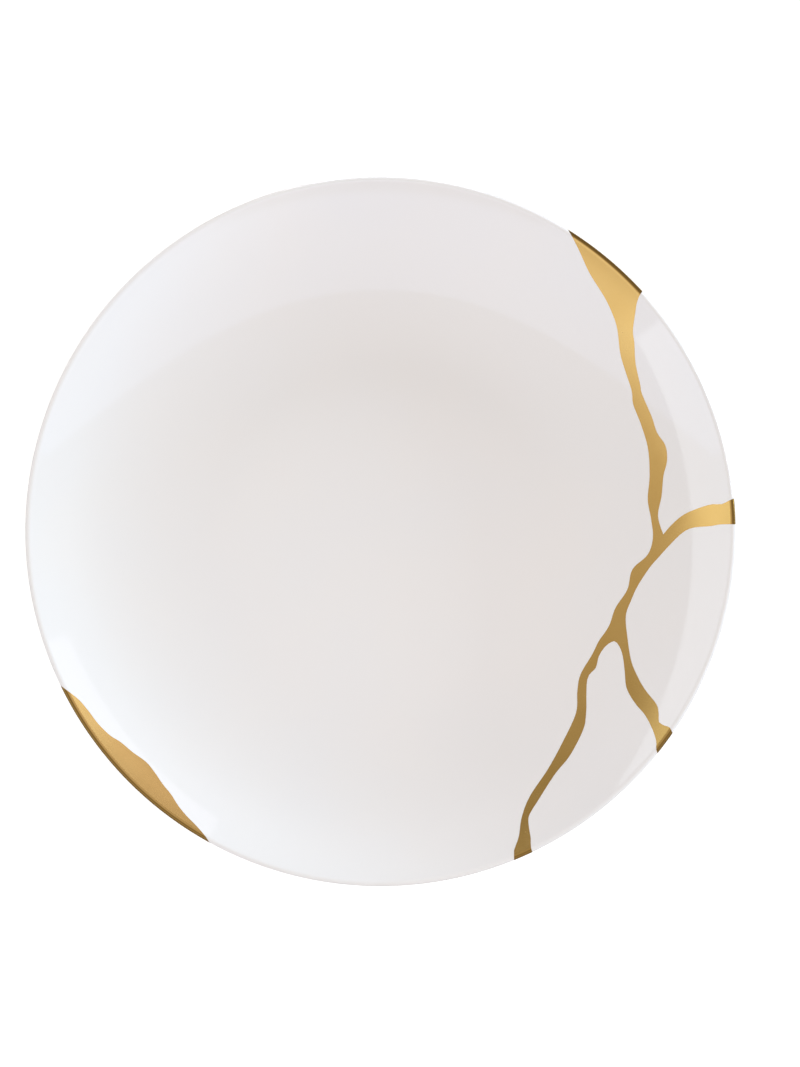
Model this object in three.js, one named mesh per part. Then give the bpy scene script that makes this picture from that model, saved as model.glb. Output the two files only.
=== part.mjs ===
// A round coupe salad plate of glazed porcelain: a flat well, a wall that curves up all the way
// to a round lip, and a low foot ring underneath. It is one solid, turned about the Z axis.
// Millimetres, +Z up, the origin at the centre of the plane that the foot stands on.

import * as THREE from "three";

// Driving dimensions
const PLATE_DIAMETER = 210;
const PLATE_HEIGHT = 24;
const LIP_THICKNESS = 3;
const WELL_FLAT_RADIUS = 50;
const FOOT_HEIGHT = 2.4;
const FOOT_OUTER_RADIUS = 58.5;
const FOOT_WIDTH = 4.6;
const FOOT_DRAFT = 0.5;
const FOOT_EDGE_ROUND = 0.7;
const FOOT_CORNER_ROUND = 1.2;
const BASE_THICKNESS = 3.8;
const GLAZE_WHITE = 0xe9e7e4;

// How finely the round stretches are divided
const TURN_SEGMENTS = 96;
const WALL_STEPS = 12;
const LIP_SIDE_STEPS = 2;
const LIP_CROWN_STEPS = 4;
const UNDERSIDE_STEPS = 9;
const FOOT_ROUND_STEPS = 3;

// Heights and radii that follow from the driving dimensions
const wellTop = FOOT_HEIGHT + BASE_THICKNESS;
const lipRadius = LIP_THICKNESS / 2;
const lipCentre = new THREE.Vector2(PLATE_DIAMETER / 2 - lipRadius, PLATE_HEIGHT - lipRadius);

// The wall's inner face is one arc that leaves the flat well level and meets the lip's round
// level with it, so its radius follows from where the lip is.
const wallRun = lipCentre.x - WELL_FLAT_RADIUS;
const wallRise = lipCentre.y - wellTop;
const wallRadius =
  (wallRun ** 2 + wallRise ** 2 - lipRadius ** 2) / (2 * (wallRise + lipRadius));
const wallCentre = new THREE.Vector2(WELL_FLAT_RADIUS, wellTop + wallRadius);
const wallSweep = Math.asin(wallRun / (wallRadius + lipRadius));

// A point at a distance from a centre, at an angle turned outwards from straight down.
function swing(centre, distance, angle) {
  return new THREE.Vector2(
    centre.x + distance * Math.sin(angle),
    centre.y - distance * Math.cos(angle),
  );
}

// Points at even steps from one angle to another, both ends included.
function arc(centre, radiusAt, from, to, steps) {
  return Array.from({ length: steps + 1 }, (_, i) => {
    const share = i / steps;
    const angle = from + (to - from) * share;
    return swing(centre, radiusAt(angle), angle);
  });
}

// A corner between two straight edges, rounded by a curve that leaves and meets them smoothly.
function roundCorner(before, corner, after, size, steps) {
  const start = corner.clone().add(before.clone().sub(corner).setLength(size));
  const end = corner.clone().add(after.clone().sub(corner).setLength(size));
  return new THREE.QuadraticBezierCurve(start, corner, end).getPoints(steps);
}

// The inside: the well's centre, the edge of its flat, and up the wall to where the lip begins.
function insideFace() {
  return [
    new THREE.Vector2(0, wellTop),
    ...arc(wallCentre, () => wallRadius, 0, wallSweep, WALL_STEPS),
  ];
}

// The lip is a full half round from the inner face over to the outer one, in three stretches so
// that its highest and its outermost points are corners of the profile.
function lip() {
  const top = Math.PI;
  const outermost = Math.PI / 2;
  const stretch = (from, to, steps) => arc(lipCentre, () => lipRadius, from, to, steps).slice(1);
  return [
    ...stretch(top + wallSweep, top, LIP_SIDE_STEPS),
    ...stretch(top, outermost, LIP_CROWN_STEPS),
    ...stretch(outermost, wallSweep, LIP_SIDE_STEPS),
  ];
}

// The wall thickens from the lip down to the base, slowly at first.
function wallThickness(angle) {
  const share = 1 - angle / wallSweep;
  return LIP_THICKNESS + (BASE_THICKNESS - LIP_THICKNESS) * share ** 2;
}

// The underside of the wall, from the lip in to where it starts to round down into the foot ring.
const undersideRadius = (angle) => wallRadius + wallThickness(angle);
const footAngle = Math.asin(
  (FOOT_OUTER_RADIUS + FOOT_DRAFT - WELL_FLAT_RADIUS) / (wallRadius + BASE_THICKNESS),
);
const undersideEnd = footAngle + FOOT_CORNER_ROUND / wallRadius;

function underside() {
  return arc(wallCentre, undersideRadius, wallSweep, undersideEnd, UNDERSIDE_STEPS).slice(1);
}

// The foot ring: both sides lean in a little towards its narrow edge, whose corners are rounded
// where the glaze is wiped off, and round out into the plate above.
function footRing() {
  const outerTop = swing(wallCentre, undersideRadius(footAngle), footAngle);
  const outerFoot = new THREE.Vector2(FOOT_OUTER_RADIUS, 0);
  const innerFoot = new THREE.Vector2(FOOT_OUTER_RADIUS - FOOT_WIDTH + 2 * FOOT_DRAFT, 0);
  const innerTop = new THREE.Vector2(FOOT_OUTER_RADIUS - FOOT_WIDTH, FOOT_HEIGHT);
  const wallEnd = swing(wallCentre, undersideRadius(undersideEnd), undersideEnd);
  const recessCentre = new THREE.Vector2(0, FOOT_HEIGHT);
  return [
    ...roundCorner(wallEnd, outerTop, outerFoot, FOOT_CORNER_ROUND, FOOT_ROUND_STEPS).slice(1),
    ...roundCorner(outerTop, outerFoot, innerFoot, FOOT_EDGE_ROUND, FOOT_ROUND_STEPS),
    ...roundCorner(outerFoot, innerFoot, innerTop, FOOT_EDGE_ROUND, FOOT_ROUND_STEPS),
    ...roundCorner(innerFoot, innerTop, recessCentre, FOOT_CORNER_ROUND, FOOT_ROUND_STEPS),
    recessCentre,
  ];
}

// The turned solid. LatheGeometry's faces look outwards when its profile runs from the bottom
// to the top, and it turns about Y, so the plate is then laid flat with +Z up.
function plateGeometry() {
  const profile = [...insideFace(), ...lip(), ...underside(), ...footRing()].reverse();
  return new THREE.LatheGeometry(profile, TURN_SEGMENTS).rotateX(Math.PI / 2);
}

const glaze = new THREE.MeshStandardMaterial({
  color: GLAZE_WHITE,
  roughness: 0.12,
  metalness: 0,
});

const plate = new THREE.Mesh(plateGeometry(), glaze);
plate.name = "plate";

const saladPlate = new THREE.Group();
saladPlate.add(plate);

export default saladPlate;
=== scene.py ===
import math

import bpy
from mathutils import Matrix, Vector
from mathutils.geometry import interpolate_bezier


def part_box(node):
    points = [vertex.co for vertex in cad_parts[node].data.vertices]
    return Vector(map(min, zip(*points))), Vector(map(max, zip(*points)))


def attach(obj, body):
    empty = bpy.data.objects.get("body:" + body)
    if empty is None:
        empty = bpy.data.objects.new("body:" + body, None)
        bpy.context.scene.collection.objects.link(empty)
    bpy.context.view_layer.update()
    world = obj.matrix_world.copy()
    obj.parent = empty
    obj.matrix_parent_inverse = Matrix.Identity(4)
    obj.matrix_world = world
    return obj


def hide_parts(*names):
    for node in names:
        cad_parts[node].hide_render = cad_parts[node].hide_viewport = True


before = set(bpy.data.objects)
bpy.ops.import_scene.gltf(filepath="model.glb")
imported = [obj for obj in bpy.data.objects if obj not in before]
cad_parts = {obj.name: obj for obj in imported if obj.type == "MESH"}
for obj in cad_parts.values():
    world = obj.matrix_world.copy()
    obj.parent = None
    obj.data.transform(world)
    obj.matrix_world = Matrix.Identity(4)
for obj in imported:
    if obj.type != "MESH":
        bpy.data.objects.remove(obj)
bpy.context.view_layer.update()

# Camera
# It looks straight down from 0.9 m up, a little to the right of the plate's middle and a touch
# below it, and +Y is the top of its picture.
MM = 0.001
RIM_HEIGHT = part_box("plate")[1].z
CAMERA_ABOVE_RIM = 875.3 * MM
CAMERA_AT = Vector((5.8 * MM, -0.7 * MM, RIM_HEIGHT + CAMERA_ABOVE_RIM))
LENS_MM = 100
SENSOR_MM = 36

bpy.ops.object.select_all(action="DESELECT")
bpy.ops.object.camera_add(location=CAMERA_AT, rotation=(0, 0, 0))
camera = bpy.context.object
camera.name = "camera"
camera.data.lens = LENS_MM
camera.data.sensor_width = SENSOR_MM
camera.data.clip_start = 0.01
bpy.context.scene.camera = camera
bpy.context.scene.view_settings.view_transform = "Standard"

# Floor
# A seamless sheet of white board under the plate, so large that its edge is far off in any view
# from above. The camera sees it glow a little, so that from straight above it is whiter than the
# plate all over and shows no shadow.
FLOOR_SIDE = 14
FLOOR_WHITE = (0.90, 0.90, 0.895, 1)
FLOOR_SHADE = (0.87, 0.87, 0.87, 1)
FLOOR_GLOW = 0.45
NO_GLOW = (0, 0, 0, 1)
BOARD_ROUGHNESS = (0.75, 0.9)
BOARD_CLOUD = 0.5
BOARD_GRAIN = 0.8 * MM


class Value:
    """A node's output. Adding, subtracting or multiplying it adds a Math node to its tree."""

    def __init__(self, socket):
        self.socket = socket

    def node(self, kind, settings=None, sockets=None, output=0):
        """Adds any node to this one's tree: first its settings, then its sockets' values or links."""
        tree = self.socket.id_data
        made = tree.nodes.new("ShaderNode" + kind)
        for name, setting in (settings or {}).items():
            setattr(made, name, setting)
        for name, given in (sockets or {}).items():
            if isinstance(given, Value):
                tree.links.new(given.socket, made.inputs[name])
            else:
                made.inputs[name].default_value = given
        return Value(made.outputs[output])

    def math(self, operation, first, second):
        return self.node("Math", {"operation": operation}, {0: first, 1: second})

    def __add__(self, other):
        return self.math("ADD", self, other)

    def __rsub__(self, other):
        return self.math("SUBTRACT", other, self)

    def __mul__(self, other):
        return self.math("MULTIPLY", self, other)

    __radd__ = __add__
    __rmul__ = __mul__

    def between(self, low, high):
        """0 where this value is low or less, 1 where it is high or more, and smooth in between."""
        ends = {"Value": self, "From Min": low, "From Max": high}
        return self.node("MapRange", {"interpolation_type": "SMOOTHSTEP"}, ends)

    def scaled(self, ends):
        """The first end where this value is 0, the second where it is 1, and evenly between."""
        low, high = ends
        return low + (high - low) * self

    def noise(self, size, detail=2):
        """Noise from 0 to 1 over this position, with patches of about this size in metres."""
        return self.node("TexNoise", None, {"Vector": self, "Scale": 1 / size, "Detail": detail})

    def mix(self, first, second):
        """A colour that goes from first to second as this value goes from 0 to 1."""
        return self.node("Mix", {"data_type": "RGBA"}, {0: self, 6: first, 7: second}, output=2)

    def bump(self, depth):
        """The normal of a surface that this value raises by up to this depth in metres."""
        return self.node("Bump", None, {"Strength": 1.0, "Distance": depth, "Height": self})


def new_material(name, plain, changing):
    """A material whose shader takes plain values on its sockets, and the links that the function
    changing(position) gives for what changes over the surface."""
    made = bpy.data.materials.new(name)
    made.use_nodes = True
    shader = made.node_tree.nodes["Principled BSDF"]
    for socket, given in plain.items():
        shader.inputs[socket].default_value = given
    place = made.node_tree.nodes.new("ShaderNodeTexCoord").outputs["Object"]
    for socket, given in changing(Value(place)).items():
        made.node_tree.links.new(given.socket, shader.inputs[socket])
    return made


def board(position):
    """White board: hardly visible clouds in its tone, and a dull grain. Its glow is for the
    camera alone, so that it doesn't light the plate from below."""
    clouds = position.noise(BOARD_CLOUD, detail=3)
    grain = position.noise(BOARD_GRAIN, detail=4)
    seen = position.node("LightPath")
    return {
        "Base Color": clouds.mix(FLOOR_SHADE, FLOOR_WHITE),
        "Roughness": grain.scaled(BOARD_ROUGHNESS),
        "Emission Color": seen.mix(NO_GLOW, FLOOR_WHITE),
    }


bpy.ops.mesh.primitive_plane_add(size=FLOOR_SIDE)
floor = bpy.context.object
floor.name = "floor"
glow = {"Emission Strength": FLOOR_GLOW}
floor.data.materials.append(new_material("white_board", glow, board))

# Lights
# Tall softboxes stand to the left and below, low ones to the right and above, and a weak one in
# the corner between those. The room over the plate is dim towards the top of the picture, bright
# towards its bottom and dark down at the horizon. The camera sees a pale backdrop in its place.
WORLD_ABOVE = (0.29, 0.248, 0.175, 1)
WORLD_BELOW = (1.23, 1.122, 1.031, 1)
WORLD_DARK_UNTIL = (0.15, 0.4)
BACKDROP = (0.98, 0.95, 0.92, 1)


def softbox(name, start, stop, heights, watts, colour):
    """An upright rectangle of light that faces the plate. In plan it runs from start to stop,
    and its lower and upper edges are at these heights, all in metres. The camera doesn't see
    it, only what it lights and its reflection."""
    low, high = heights
    start = Vector((*start, (low + high) / 2))
    stop = Vector((*stop, (low + high) / 2))
    along = stop - start
    middle = (start + stop) / 2
    facing = along.cross(Vector((0, 0, 1)))
    if facing.dot(middle) > 0:
        facing.negate()
    turn = facing.to_track_quat("-Z", "Y").to_euler()
    bpy.ops.object.light_add(type="AREA", location=middle, rotation=turn)
    made = bpy.context.object
    made.name = name
    made.data.shape = "RECTANGLE"
    made.data.size = along.length
    made.data.size_y = high - low
    made.data.energy = watts
    made.data.color = colour
    made.visible_camera = False


softbox(
    "box_below", start=(-3.5, -0.8), stop=(3.5, -0.8), heights=(0.5, 1.95),
    watts=16.6, colour=(0.54, 0.68, 1),
)
softbox(
    "box_left", start=(-1.34, -1), stop=(-1.98, 3), heights=(0.5, 1.29),
    watts=9.4, colour=(0.86, 0.94, 1),
)
softbox(
    "box_right", start=(2, 0.2), stop=(2, 1.2), heights=(0.1, 0.5),
    watts=32, colour=(0.72, 0.90, 1),
)
softbox(
    "box_above", start=(-0.6, 2), stop=(0.6, 2), heights=(0.1, 0.6),
    watts=19, colour=(0.92, 0.92, 1),
)
softbox(
    "box_corner", start=(2.1, 0.7), stop=(1.1, 2), heights=(1.0, 1.5),
    watts=1.7, colour=(0.92, 0.86, 1),
)

room = bpy.data.worlds.new("room")
bpy.context.scene.world = room
room.use_nodes = True
background = room.node_tree.nodes["Background"]
direction = Value(room.node_tree.nodes.new("ShaderNodeTexCoord").outputs["Generated"])
seen = direction.node("LightPath")
upwards = direction.node("SeparateXYZ", None, {0: direction}, output=2)
towards_top = direction.node("SeparateXYZ", None, {0: direction}, output=1)
towards_bottom = 0.5 - 0.5 * towards_top
room_colour = seen.mix(towards_bottom.mix(WORLD_ABOVE, WORLD_BELOW), BACKDROP)
room.node_tree.links.new(room_colour.socket, background.inputs["Color"])
room_strength = seen + (1 - seen) * upwards.between(*WORLD_DARK_UNTIL)
room.node_tree.links.new(room_strength.socket, background.inputs["Strength"])

# Plate
# One piece of white porcelain, turned in a mould and dipped in clear glaze, which is wiped off
# the foot's edge before the firing so that the plate doesn't stick to the kiln's shelf.
PLATE_LOW, PLATE_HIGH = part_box("plate")
PLATE_RADIUS = (PLATE_HIGH.x - PLATE_LOW.x) / 2
PLATE_HEIGHT = PLATE_HIGH.z - PLATE_LOW.z
LIP_THICKNESS = 3 * MM
SHOULDER_WIDTH = 1.0 * MM
SHOULDER_RISE = 0.35 * MM
EDGE_WIDTH = 0.8 * MM
UNDER_EDGE = 1.8 * MM
SHOULDER_BEND = 0.4
QUARTER_BEND = 0.55
WELL_FLAT_RADIUS = 50 * MM
WELL_EASE = 6 * MM
EASE_BEND = 1 / 8
WELL_RINGS = (2 * MM, 14 * MM, 26 * MM)
BASE_THICKNESS = 3.8 * MM
FOOT_HEIGHT = 2.4 * MM
FOOT_OUTER_RADIUS = 58.5 * MM
FOOT_WIDTH = 4.6 * MM
FOOT_DRAFT = 0.5 * MM
FOOT_EDGE_ROUND = 0.7 * MM
FOOT_CORNER_ROUND = 1.2 * MM
TURN_STEPS = 384
EASE_STEPS = 16
WALL_STEPS = 48
SHOULDER_STEPS = 16
EDGE_STEPS = 8
ROUND_STEPS = 8
LATHE_WELD = 0.001 * MM
WARP = 0.05 * MM
WARP_SIZE = 60 * MM

well_top = FOOT_HEIGHT + BASE_THICKNESS

# The wall's inner face is one arc that leaves the flat well level and ends at the lip's shoulder.
wall_run = PLATE_RADIUS - EDGE_WIDTH - SHOULDER_WIDTH - WELL_FLAT_RADIUS
wall_rise = PLATE_HEIGHT - SHOULDER_RISE - well_top
wall_radius = (wall_run**2 + wall_rise**2) / (2 * wall_rise)
wall_centre = Vector((WELL_FLAT_RADIUS, 0, well_top + wall_radius))
wall_sweep = math.asin(wall_run / wall_radius)
under_sweep = wall_sweep - UNDER_EDGE / wall_radius


def swing(centre, distance, angle):
    """The point at a distance from a centre, at an angle turned outwards from straight down."""
    return centre + distance * Vector((math.sin(angle), 0, -math.cos(angle)))


def arc(centre, radius_at, start, stop, steps):
    """Points at even steps along a round stretch of the profile, both ends included."""
    angles = [start + (stop - start) * step / steps for step in range(steps + 1)]
    return [swing(centre, radius_at(angle), angle) for angle in angles]


def rounded(before, corner, after, size):
    """A corner of the profile, rounded by a parabola that leaves and meets both sides smoothly.
    A Bezier curve is that parabola when its bends lie two thirds of the way to the corner."""
    start = corner + (before - corner).normalized() * size
    stop = corner + (after - corner).normalized() * size
    bends = (start.lerp(corner, 2 / 3), stop.lerp(corner, 2 / 3))
    return interpolate_bezier(start, bends[0], bends[1], stop, ROUND_STEPS)


def underside_radius(angle):
    """The wall thickens from the lip down to the base, slowly at first."""
    share = 1 - angle / wall_sweep
    return wall_radius + LIP_THICKNESS + (BASE_THICKNESS - LIP_THICKNESS) * share**2


def eased_start(angle):
    """From the flat well up to the wall's arc at an angle, as a curve that bends slowly at first
    and then as much as the arc does, so that no ring shows where the flat ends."""
    start = Vector((WELL_FLAT_RADIUS - WELL_EASE, 0, well_top))
    stop = swing(wall_centre, wall_radius, angle)
    first_bend = Vector((WELL_FLAT_RADIUS + EASE_BEND * WELL_EASE, 0, well_top))
    last_bend = Vector((stop.x - (stop.z - well_top) / math.tan(angle), 0, well_top))
    return interpolate_bezier(start, first_bend, last_bend, stop, EASE_STEPS)


def lip():
    """From the top of the wall over the lip to the underside. A short shoulder turns level into
    the crown, and beyond the crown the lip rounds down and back under. Each of the three is a
    Bezier curve. The last two are nearly quarter circles, as their bends lie a bit more than
    half of the way to their corners."""
    shoulder = swing(wall_centre, wall_radius, wall_sweep)
    crown = Vector((PLATE_RADIUS - EDGE_WIDTH, 0, PLATE_HEIGHT))
    side = Vector((PLATE_RADIUS, 0, PLATE_HEIGHT - EDGE_WIDTH))
    under = swing(wall_centre, underside_radius(under_sweep), under_sweep)
    up_wall = Vector((math.cos(wall_sweep), 0, math.sin(wall_sweep)))
    out = Vector((1, 0, 0))
    down = Vector((0, 0, -1))
    turn = SHOULDER_BEND * SHOULDER_WIDTH
    bend = QUARTER_BEND * EDGE_WIDTH
    tuck = QUARTER_BEND * UNDER_EDGE
    return [
        *interpolate_bezier(
            shoulder, shoulder + turn * up_wall, crown - turn * out, crown, SHOULDER_STEPS
        ),
        *interpolate_bezier(crown, crown + bend * out, side - bend * down, side, EDGE_STEPS)[1:],
        *interpolate_bezier(side, side + tuck * down, under + tuck * up_wall, under, EDGE_STEPS)[1:],
    ]


def plate_profile():
    """Half the plate's section, from the middle of the well over the lip to the middle below."""
    eased = math.asin(WELL_EASE / wall_radius)
    foot_angle = math.asin(
        (FOOT_OUTER_RADIUS + FOOT_DRAFT - WELL_FLAT_RADIUS) / (wall_radius + BASE_THICKNESS)
    )
    wall_end = foot_angle + FOOT_CORNER_ROUND / wall_radius
    outer_top = swing(wall_centre, underside_radius(foot_angle), foot_angle)
    outer_foot = Vector((FOOT_OUTER_RADIUS, 0, 0))
    inner_foot = Vector((FOOT_OUTER_RADIUS - FOOT_WIDTH + 2 * FOOT_DRAFT, 0, 0))
    inner_top = Vector((FOOT_OUTER_RADIUS - FOOT_WIDTH, 0, FOOT_HEIGHT))
    underside = arc(wall_centre, underside_radius, under_sweep, wall_end, WALL_STEPS)
    return [
        Vector((0, 0, well_top)),
        *(Vector((radius, 0, well_top)) for radius in WELL_RINGS),
        *eased_start(eased),
        *arc(wall_centre, lambda angle: wall_radius, eased, wall_sweep, WALL_STEPS)[1:],
        *lip()[1:],
        *underside[1:],
        *rounded(underside[-1], outer_top, outer_foot, FOOT_CORNER_ROUND)[1:],
        *rounded(outer_top, outer_foot, inner_foot, FOOT_EDGE_ROUND),
        *rounded(outer_foot, inner_foot, inner_top, FOOT_EDGE_ROUND),
        *rounded(inner_foot, inner_top, Vector((0, 0, FOOT_HEIGHT)), FOOT_CORNER_ROUND),
        *(Vector((radius, 0, FOOT_HEIGHT)) for radius in reversed(WELL_RINGS)),
        Vector((0, 0, FOOT_HEIGHT)),
    ]


def draw_line(name, points):
    """A new object of edges only: one vertex, extruded from each point to the next. It is left
    in edit mode with its last vertex selected."""
    bpy.ops.object.select_all(action="DESELECT")
    bpy.ops.mesh.primitive_plane_add(size=MM)
    made = bpy.context.object
    made.name = name
    bpy.ops.object.mode_set(mode="EDIT")
    bpy.ops.mesh.select_mode(type="VERT")
    bpy.ops.mesh.merge(type="CENTER")
    bpy.ops.transform.translate(value=points[0])
    for before, after in zip(points, points[1:]):
        bpy.ops.mesh.extrude_vertices_move(TRANSFORM_OT_translate={"value": after - before})
    return made


def apply_modifier(piece, kind, **settings):
    """Adds a modifier to a piece, sets it and applies it."""
    bpy.ops.object.select_all(action="DESELECT")
    piece.select_set(True)
    bpy.context.view_layer.objects.active = piece
    bpy.ops.object.modifier_add(type=kind)
    modifier = piece.modifiers[-1]
    for name, setting in settings.items():
        setattr(modifier, name, setting)
    bpy.ops.object.modifier_apply(modifier=modifier.name)


plate = draw_line("porcelain_plate", plate_profile())
bpy.ops.mesh.select_all(action="SELECT")
bpy.ops.mesh.spin(steps=TURN_STEPS, angle=2 * math.pi, center=(0, 0, 0), axis=(0, 0, 1))
bpy.ops.mesh.select_all(action="SELECT")
bpy.ops.mesh.remove_doubles(threshold=LATHE_WELD)
bpy.ops.mesh.normals_make_consistent(inside=False)
bpy.ops.object.mode_set(mode="OBJECT")
warping = bpy.data.textures.new("warping", "CLOUDS")
warping.noise_scale = WARP_SIZE
warping.noise_depth = 0
warp = {"texture": warping, "texture_coords": "LOCAL", "strength": WARP, "mid_level": 1}
apply_modifier(plate, "DISPLACE", **warp)
bpy.ops.object.shade_smooth()

GLAZE_COOL = (0.855, 0.87, 0.90, 1)
GLAZE_WARM = (0.885, 0.88, 0.885, 1)
BARE_CLAY = (0.74, 0.69, 0.62, 1)
GLAZE_PATCH = 35 * MM
GLAZE_RIPPLE = 4 * MM
CLAY_GRAIN = 0.25 * MM
GLAZE_ROUGHNESS = (0.05, 0.09)
CLAY_ROUGHNESS = (0.7, 0.95)
CLAY_RELIEF = 0.05 * MM
RIPPLE_SHARE = 0.02
BARE_BELOW = (0.25 * MM, 0.4 * MM)


def porcelain(position):
    """Clear glaze on white clay, a touch warmer and cooler in soft patches, with the faint
    ripple of a fired glaze. The foot's edge is bare clay: darker, matt and grainy."""
    height = position.node("SeparateXYZ", None, {0: position}, output=2)
    glazed = height.between(*BARE_BELOW)
    patches = position.noise(GLAZE_PATCH, detail=2)
    ripple = position.noise(GLAZE_RIPPLE, detail=1)
    grain = position.noise(CLAY_GRAIN, detail=3)
    bare = 1 - glazed
    relief = grain * bare + ripple * glazed * RIPPLE_SHARE
    return {
        "Base Color": glazed.mix(BARE_CLAY, patches.mix(GLAZE_COOL, GLAZE_WARM)),
        "Roughness": ripple.scaled(GLAZE_ROUGHNESS) * glazed + grain.scaled(CLAY_ROUGHNESS) * bare,
        "Coat Weight": glazed,
        "Normal": relief.bump(CLAY_RELIEF),
    }


gloss = {"IOR": 1.5, "Coat Roughness": 0.04}
plate.data.materials.append(new_material("glazed_porcelain", gloss, porcelain))
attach(plate, "root")
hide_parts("plate")

# Gold seams
# A branching repair line with a wide fill where it starts on the rim. It is gold brushed over
# the glaze and fired, a film that goes over the lip and down the back. It is drawn thicker here
# than it is, so that it shows, and its outline is in millimetres in plan.
FILM = 0.08 * MM
OUTLINE_STEP = 1 * MM
CUTTER_HEIGHT = 60 * MM
CUTTER_WELD = 0.01 * MM
WALL_FROM = 62 * MM
SHARP_EDGE = math.radians(40)
SEAM_OUTLINE = (
    # The side towards the well, from the upper right rim to the lower rim
    ((53, 93.5), (58.5, 83.5), (62, 76.5), (66.5, 69.5), (69, 64.5), (70.5, 60), (71.5, 53),
     (73, 48), (75, 42), (75.5, 38), (78, 31.5), (80, 24.5), (80.5, 16.5), (80, 9.5),
     (81, 3.5), (81.5, -2), (80, -7), (75.5, -11.5), (74, -17.5), (70.5, -23), (68.5, -28.5),
     (65.5, -33), (63.5, -37), (60, -43), (59, -48), (58.5, -54.5), (54.5, -63), (50, -71),
     (44.5, -79), (42, -85), (41, -90.5), (39.5, -94.5), (39.5, -97), (38.5, -100)),
    # From the lower rim up to the lower fork and down to the lower right rim
    ((46, -98), (44.5, -93.5), (44.5, -91), (44, -87.5), (44, -85), (45, -83), (47, -80),
     (52, -72.5), (56.5, -67), (60.5, -59.5), (61.5, -54.5), (62, -44.5), (64.5, -41),
     (65.5, -37.5), (67.5, -34.5), (70, -33), (71.5, -34.5), (72.5, -37.5), (73, -42),
     (73.5, -47), (76, -51.5), (78.5, -54.5), (80.5, -58.5), (81.5, -62), (81.5, -64.5),
     (82.5, -67)),
    # From the lower right rim up and out to the right rim
    ((90, -65), (86.5, -60), (85.5, -58), (84, -57.5), (82.5, -56.5), (82.5, -54.5),
     (82, -51.5), (79, -47.5), (77, -44), (75, -39), (74, -32.5), (73.5, -25.5), (75, -21),
     (77, -16.5), (80.5, -11), (83, -8), (86.5, -4), (90, -0.5), (93, 1), (98, 1.5), (101, 2),
     (107.5, 2)),
    # From the right rim in to the upper fork
    ((107.5, 10), (104, 9.5), (101, 8), (98.5, 8), (95, 7), (90.5, 5), (87, 2), (84.5, -1)),
    # From the upper fork back to the upper right rim
    ((84.5, -1), (83, 4.5), (84, 10.5), (84.5, 16.5), (85.5, 21), (85, 25.5), (82.5, 29.5),
     (81, 34), (78, 41), (77.5, 43.5), (76, 50), (75.5, 56), (75, 59.5), (75.5, 64.5),
     (76, 68), (77.5, 71), (81, 74)),
)


def flowing(stretch):
    """A smooth curve in plan through the places of a stretch, as points about a step apart. At
    each place it runs along the line from the place before to the place after."""
    places = [Vector((x, y, 0)) * MM for x, y in stretch]
    ends = [places[0], *places, places[-1]]
    curve = []
    for before, start, stop, after in zip(ends, ends[1:], ends[2:], ends[3:]):
        count = max(2, round((stop - start).length / OUTLINE_STEP) + 1)
        bends = (start + (stop - before) / 6, stop - (after - start) / 6)
        curve += interpolate_bezier(start, bends[0], bends[1], stop, count)[:-1]
    return [*curve, places[-1]]


def gold_film(name, outline):
    """The part of a thin skin on the plate's wall and lip that lies inside an outline."""
    corners = [place for stretch in outline for place in flowing(stretch)]
    cutter = draw_line("cutter", [*corners, corners[0]])
    bpy.ops.mesh.select_all(action="SELECT")
    bpy.ops.mesh.remove_doubles(threshold=CUTTER_WELD)
    bpy.ops.mesh.edge_face_add()
    bpy.ops.transform.translate(value=(0, 0, -CUTTER_HEIGHT / 2))
    bpy.ops.mesh.extrude_region_move(TRANSFORM_OT_translate={"value": (0, 0, CUTTER_HEIGHT)})
    bpy.ops.mesh.select_all(action="SELECT")
    bpy.ops.mesh.normals_make_consistent(inside=False)
    bpy.ops.object.mode_set(mode="OBJECT")

    skin = plate.copy()
    skin.data = plate.data.copy()
    bpy.context.scene.collection.objects.link(skin)
    skin.name = name
    skin.data.materials.clear()
    bpy.ops.object.select_all(action="DESELECT")
    skin.select_set(True)
    bpy.context.view_layer.objects.active = skin
    bpy.ops.object.mode_set(mode="EDIT")
    bpy.ops.mesh.select_mode(type="FACE")
    bpy.ops.mesh.select_all(action="DESELECT")
    bpy.ops.object.mode_set(mode="OBJECT")
    for face in skin.data.polygons:
        face.select = face.center.xy.length < WALL_FROM
    bpy.ops.object.mode_set(mode="EDIT")
    bpy.ops.mesh.delete(type="FACE")
    bpy.ops.object.mode_set(mode="OBJECT")
    apply_modifier(skin, "SOLIDIFY", thickness=FILM, offset=0)
    apply_modifier(skin, "BOOLEAN", operation="INTERSECT", solver="EXACT", object=cutter)
    bpy.ops.object.shade_smooth_by_angle(angle=SHARP_EDGE)
    bpy.data.objects.remove(cutter)
    return skin


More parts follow.
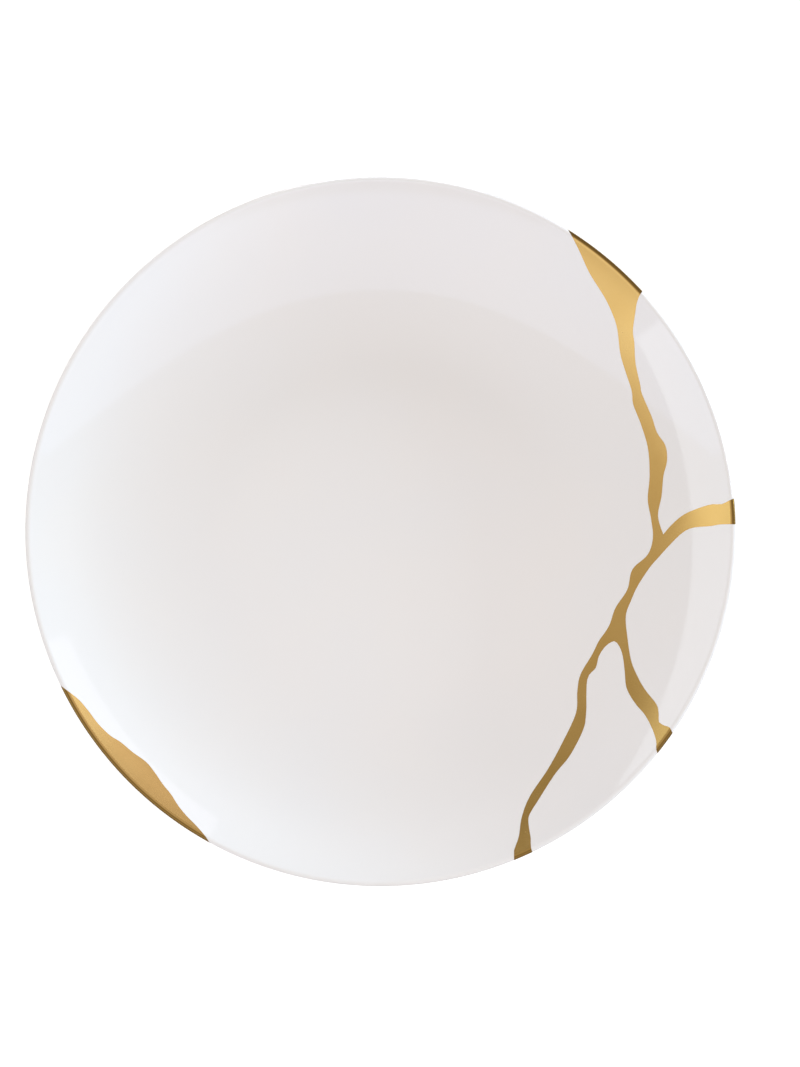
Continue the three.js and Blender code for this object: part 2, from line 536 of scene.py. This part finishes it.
GOLD_DEEP = (0.56, 0.37, 0.12, 1)
GOLD_PALE = (0.625, 0.43, 0.16, 1)
# The dark brown at the lip's outer edge, and the radii over which it sets in, are a painted dark
# reflection.
PAINTED_LIP_REFLECTION = (0.24, 0.145, 0.04, 1)
PAINTED_REFLECTION_FROM = (103.7 * MM, 104.1 * MM)
GOLD_PATCH = 9 * MM
GOLD_BRUSH = 0.5 * MM
BRUSH_RELIEF = 0.0002 * MM
GOLD_ROUGHNESS = 0.2
PATCH_ROUGHER = 0.06
BRUSH_ROUGHER = 0.05


def fired_gold(position, deep=GOLD_DEEP, pale=GOLD_PALE):
    """Bright fired gold: warmer and paler patches where the brush left more or less of it, a fine
    grain in its gloss, and a painted dark reflection along the lip's edge, a darker brown line in
    place of the dark surroundings that the edge reflects."""
    in_plan = position.node("VectorMath", {"operation": "MULTIPLY"}, {0: position, 1: (1, 1, 0)})
    radius = in_plan.node("VectorMath", {"operation": "LENGTH"}, {0: in_plan}, output=1)
    # Painted dark reflection: the gold turns darker brown towards the lip's outer edge.
    painted_reflection = radius.between(*PAINTED_REFLECTION_FROM)
    patches = position.noise(GOLD_PATCH, detail=3)
    brush = position.noise(GOLD_BRUSH, detail=2)
    return {
        "Base Color": painted_reflection.mix(patches.mix(deep, pale), PAINTED_LIP_REFLECTION),
        "Roughness": GOLD_ROUGHNESS + PATCH_ROUGHER * patches + BRUSH_ROUGHER * brush,
        "Normal": brush.bump(BRUSH_RELIEF),
    }


gold = new_material("fired_gold", {"Metallic": 1.0}, fired_gold)
gold_seams = gold_film("gold_seams", SEAM_OUTLINE)
gold_seams.data.materials.append(gold)
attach(gold_seams, "root")

# Gold rim fill
# A long chip in the lower left rim, filled and gilded in the same way. Its gold is a paler copy of
# the seams' gold, painted light that makes the fill look more brightly lit. Its outline runs along
# the chip from end to end and closes outside the rim.
# A paler copy of the gold: painted light that brightens the whole fill.
PAINTED_LIT_GOLD_DEEP = (0.70, 0.465, 0.17, 1)
PAINTED_LIT_GOLD_PALE = (0.79, 0.53, 0.21, 1)
FILL_OUTLINE = (
    ((-97, -44.5), (-94, -46), (-89.5, -49.5), (-86.5, -53), (-83.5, -57), (-80, -60.5),
     (-77, -62.5), (-73.5, -65.5), (-69.5, -68.5), (-67, -71.5), (-64.5, -75), (-62, -78),
     (-60, -81), (-57.5, -84), (-53.5, -88), (-50.5, -92), (-47, -100)),
    ((-90, -85), (-90, -84)),
)


def painted_lit_gold(position):
    """The same gold, paler all over, as painted light that makes the fill look more brightly lit."""
    return fired_gold(position, PAINTED_LIT_GOLD_DEEP, PAINTED_LIT_GOLD_PALE)


gold_fill = gold_film("gold_rim_fill", FILL_OUTLINE)
gold_fill.data.materials.append(new_material("painted_lit_gold", {"Metallic": 1.0}, painted_lit_gold))
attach(gold_fill, "root")
